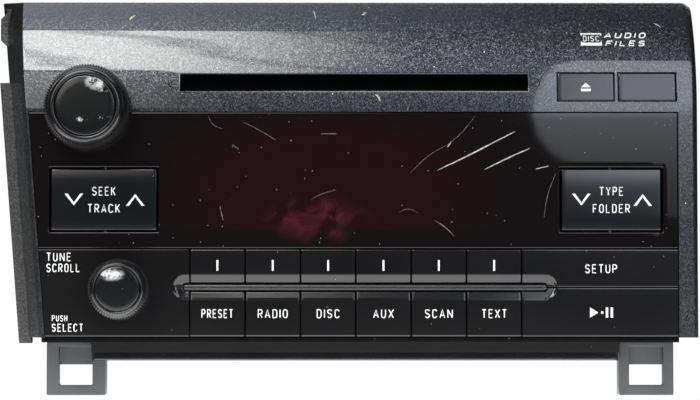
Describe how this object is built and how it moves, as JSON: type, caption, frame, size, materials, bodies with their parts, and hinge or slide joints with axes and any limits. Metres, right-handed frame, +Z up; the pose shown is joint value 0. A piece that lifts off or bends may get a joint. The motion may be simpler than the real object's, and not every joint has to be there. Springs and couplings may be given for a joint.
{
  "type": "car radio",
  "caption": "Double-height car radio with a wide painted fascia, disc slot, smoked display window, rocker keys, rows of push keys and two round control knobs.",
  "frame": {"origin": "centre of the chassis, on the plane where the front assembly meets it", "axes": "+X to the listener's right, +Y into the dashboard, +Z up"},
  "size_m": [0.2499, 0.2141, 0.1419],
  "materials": {
    "charcoal_paint": "metallic charcoal paint on moulded plastic",
    "black_shell": "fine-grained black moulding",
    "grey_casting": "unpainted grey",
    "smoked_lens": "polished smoked red-black",
    "key_black": "satin black",
    "rocker_black": "satin black",
    "small_key_black": "satin black",
    "satin_bar": "dark satin with bright edges",
    "display_frame": "matt black",
    "knob_black": "soft satin black, knurled skirt",
    "cap_black": "satin black",
    "bright_steel": "ground",
    "white_nylon": "natural nylon",
    "encoder_body": "stamped",
    "circuit_board": "solder resist",
    "component_black": "moulded",
    "black_felt": "felt",
    "zinc_sheet": "zinc-plated sheet",
    "screw_steel": "yellow passivated",
    "cast_aluminium": "as cast",
    "tin_plate": "tin-plated",
    "capacitor_sleeve": "shrink sleeve",
    "connector_ivory": "moulded nylon",
    "nickel_brass": "nickel-plated",
    "roller_rubber": "ground rubber",
    "motor_can": "drawn can"
  },
  "bodies": {
    "radio": {"fascia": "charcoal_paint", "front_base": "black_shell", "left_hanger_loop": "grey_casting", "right_hanger_loop": "grey_casting", "display_lens": "smoked_lens", "tune_panel": "key_black", "light_bar": "satin_bar", "display_module": "display_frame", "volume_encoder": "encoder_body", "tune_encoder": "encoder_body", "rocker_pins": "bright_steel", "front_pcb": "circuit_board", "tact_switches": "component_black", "slot_felt": "black_felt", "front_plate": "zinc_sheet", "chassis_tray": "zinc_sheet", "top_cover": "zinc_sheet", "chassis_screws": "screw_steel", "heat_sink": "cast_aluminium", "main_pcb": "circuit_board", "tuner_can": "tin_plate", "power_amp": "component_black", "capacitors": "capacitor_sleeve", "main_connector": "connector_ivory", "antenna_socket": "nickel_brass", "mech_deck": "zinc_sheet", "feed_motor": "motor_can", "spindle_motor": "motor_can", "guide_rods": "bright_steel"},
    "volume_carrier": {"volume_rotor": "white_nylon"},
    "volume_dial": {"volume_knob": "knob_black", "volume_knob_cap": "cap_black", "volume_shaft": "bright_steel"},
    "tune_carrier": {"tune_rotor": "white_nylon"},
    "tune_dial": {"tune_knob": "knob_black", "tune_knob_cap": "cap_black", "tune_shaft": "bright_steel"},
    "seek_rocker": {"seek_rocker": "rocker_black"},
    "type_rocker": {"type_rocker": "rocker_black"},
    "eject_key": {"eject_key": "small_key_black"},
    "blank_key": {"blank_key": "small_key_black"},
    "station_key_1": {"station_key_1": "key_black"},
    "station_key_2": {"station_key_2": "key_black"},
    "station_key_3": {"station_key_3": "key_black"},
    "station_key_4": {"station_key_4": "key_black"},
    "station_key_5": {"station_key_5": "key_black"},
    "station_key_6": {"station_key_6": "key_black"},
    "preset_key": {"preset_key": "key_black"},
    "radio_key": {"radio_key": "key_black"},
    "disc_key": {"disc_key": "key_black"},
    "aux_key": {"aux_key": "key_black"},
    "scan_key": {"scan_key": "key_black"},
    "text_key": {"text_key": "key_black"},
    "setup_key": {"setup_key": "key_black"},
    "play_key": {"play_key": "key_black"},
    "feed_roller": {"feed_roller": "roller_rubber"},
    "turntable": {"turntable": "component_black"},
    "laser_sled": {"laser_sled": "component_black"},
    "lead_screw": {"lead_screw": "bright_steel"},
    "clamp_arm": {"clamp_arm": "zinc_sheet"}
  },
  "joints": [
    {"name": "volume_push", "type": "slide", "parent": "radio", "child": "volume_carrier", "axis": [0, 1, 0], "range_m": [0, 0.0008], "stiffness_N_per_m": 1500, "springref_m": -0.0008},
    {"name": "volume_turn", "type": "hinge", "parent": "volume_carrier", "child": "volume_dial", "pos_m": [-0.094, 0, 0.0253], "axis": [0, 1, 0], "continuous": true},
    {"name": "tune_push", "type": "slide", "parent": "radio", "child": "tune_carrier", "axis": [0, 1, 0], "range_m": [0, 0.0008], "stiffness_N_per_m": 1500, "springref_m": -0.0008},
    {"name": "tune_turn", "type": "hinge", "parent": "tune_carrier", "child": "tune_dial", "pos_m": [-0.0828, 0, -0.0386], "axis": [0, 1, 0], "continuous": true},
    {"name": "seek_tilt", "type": "hinge", "parent": "radio", "child": "seek_rocker", "pos_m": [-0.0885, -0.018, -0.007], "axis": [0, 0, 1], "range_deg": [-2.5, 2.5], "stiffness_Nm_per_rad": 0.8},
    {"name": "type_tilt", "type": "hinge", "parent": "radio", "child": "type_rocker", "pos_m": [0.09095, -0.018, -0.007], "axis": [0, 0, 1], "range_deg": [-2.5, 2.5], "stiffness_Nm_per_rad": 0.8},
    {"name": "eject_push", "type": "slide", "parent": "radio", "child": "eject_key", "axis": [0, 1, 0], "range_m": [0, 0.0006], "stiffness_N_per_m": 1200, "springref_m": -0.0008},
    {"name": "blank_push", "type": "slide", "parent": "radio", "child": "blank_key", "axis": [0, 1, 0], "range_m": [0, 0.0006], "stiffness_N_per_m": 1200, "springref_m": -0.0008},
    {"name": "station_push_1", "type": "slide", "parent": "radio", "child": "station_key_1", "axis": [0, 1, 0], "range_m": [0, 0.0006], "stiffness_N_per_m": 1200, "springref_m": -0.0008},
    {"name": "station_push_2", "type": "slide", "parent": "radio", "child": "station_key_2", "axis": [0, 1, 0], "range_m": [0, 0.0006], "stiffness_N_per_m": 1200, "springref_m": -0.0008},
    {"name": "station_push_3", "type": "slide", "parent": "radio", "child": "station_key_3", "axis": [0, 1, 0], "range_m": [0, 0.0006], "stiffness_N_per_m": 1200, "springref_m": -0.0008},
    {"name": "station_push_4", "type": "slide", "parent": "radio", "child": "station_key_4", "axis": [0, 1, 0], "range_m": [0, 0.0006], "stiffness_N_per_m": 1200, "springref_m": -0.0008},
    {"name": "station_push_5", "type": "slide", "parent": "radio", "child": "station_key_5", "axis": [0, 1, 0], "range_m": [0, 0.0006], "stiffness_N_per_m": 1200, "springref_m": -0.0008},
    {"name": "station_push_6", "type": "slide", "parent": "radio", "child": "station_key_6", "axis": [0, 1, 0], "range_m": [0, 0.0006], "stiffness_N_per_m": 1200, "springref_m": -0.0008},
    {"name": "preset_push", "type": "slide", "parent": "radio", "child": "preset_key", "axis": [0, 1, 0], "range_m": [0, 0.0006], "stiffness_N_per_m": 1200, "springref_m": -0.0008},
    {"name": "radio_push", "type": "slide", "parent": "radio", "child": "radio_key", "axis": [0, 1, 0], "range_m": [0, 0.0006], "stiffness_N_per_m": 1200, "springref_m": -0.0008},
    {"name": "disc_push", "type": "slide", "parent": "radio", "child": "disc_key", "axis": [0, 1, 0], "range_m": [0, 0.0006], "stiffness_N_per_m": 1200, "springref_m": -0.0008},
    {"name": "aux_push", "type": "slide", "parent": "radio", "child": "aux_key", "axis": [0, 1, 0], "range_m": [0, 0.0006], "stiffness_N_per_m": 1200, "springref_m": -0.0008},
    {"name": "scan_push", "type": "slide", "parent": "radio", "child": "scan_key", "axis": [0, 1, 0], "range_m": [0, 0.0006], "stiffness_N_per_m": 1200, "springref_m": -0.0008},
    {"name": "text_push", "type": "slide", "parent": "radio", "child": "text_key", "axis": [0, 1, 0], "range_m": [0, 0.0006], "stiffness_N_per_m": 1200, "springref_m": -0.0008},
    {"name": "setup_push", "type": "slide", "parent": "radio", "child": "setup_key", "axis": [0, 1, 0], "range_m": [0, 0.0006], "stiffness_N_per_m": 1200, "springref_m": -0.0008},
    {"name": "play_push", "type": "slide", "parent": "radio", "child": "play_key", "axis": [0, 1, 0], "range_m": [0, 0.0006], "stiffness_N_per_m": 1200, "springref_m": -0.0008},
    {"name": "roller_spin", "type": "hinge", "parent": "radio", "child": "feed_roller", "pos_m": [0, 0.012, 0.0304], "axis": [1, 0, 0], "continuous": true},
    {"name": "disc_spin", "type": "hinge", "parent": "radio", "child": "turntable", "pos_m": [0, 0.082, 0.0256], "axis": [0, 0, 1], "continuous": true},
    {"name": "screw_turn", "type": "hinge", "parent": "radio", "child": "lead_screw", "pos_m": [0.04, 0.106, 0.0255], "axis": [1, 0, 0], "range_deg": [0, 4900]},
    {"name": "sled_travel", "type": "slide", "parent": "radio", "child": "laser_sled", "axis": [1, 0, 0], "range_m": [0, 0.034]},
    {"name": "clamp_lift", "type": "hinge", "parent": "radio", "child": "clamp_arm", "pos_m": [0, 0.142, 0.042], "axis": [-1, 0, 0], "range_deg": [-1, 3], "stiffness_Nm_per_rad": 0.5, "springref_deg": -2.86}
  ],
  "couplings": [
    {"joint": "screw_turn", "follows": "sled_travel", "rad_per_m": 2513.3}
  ]
}
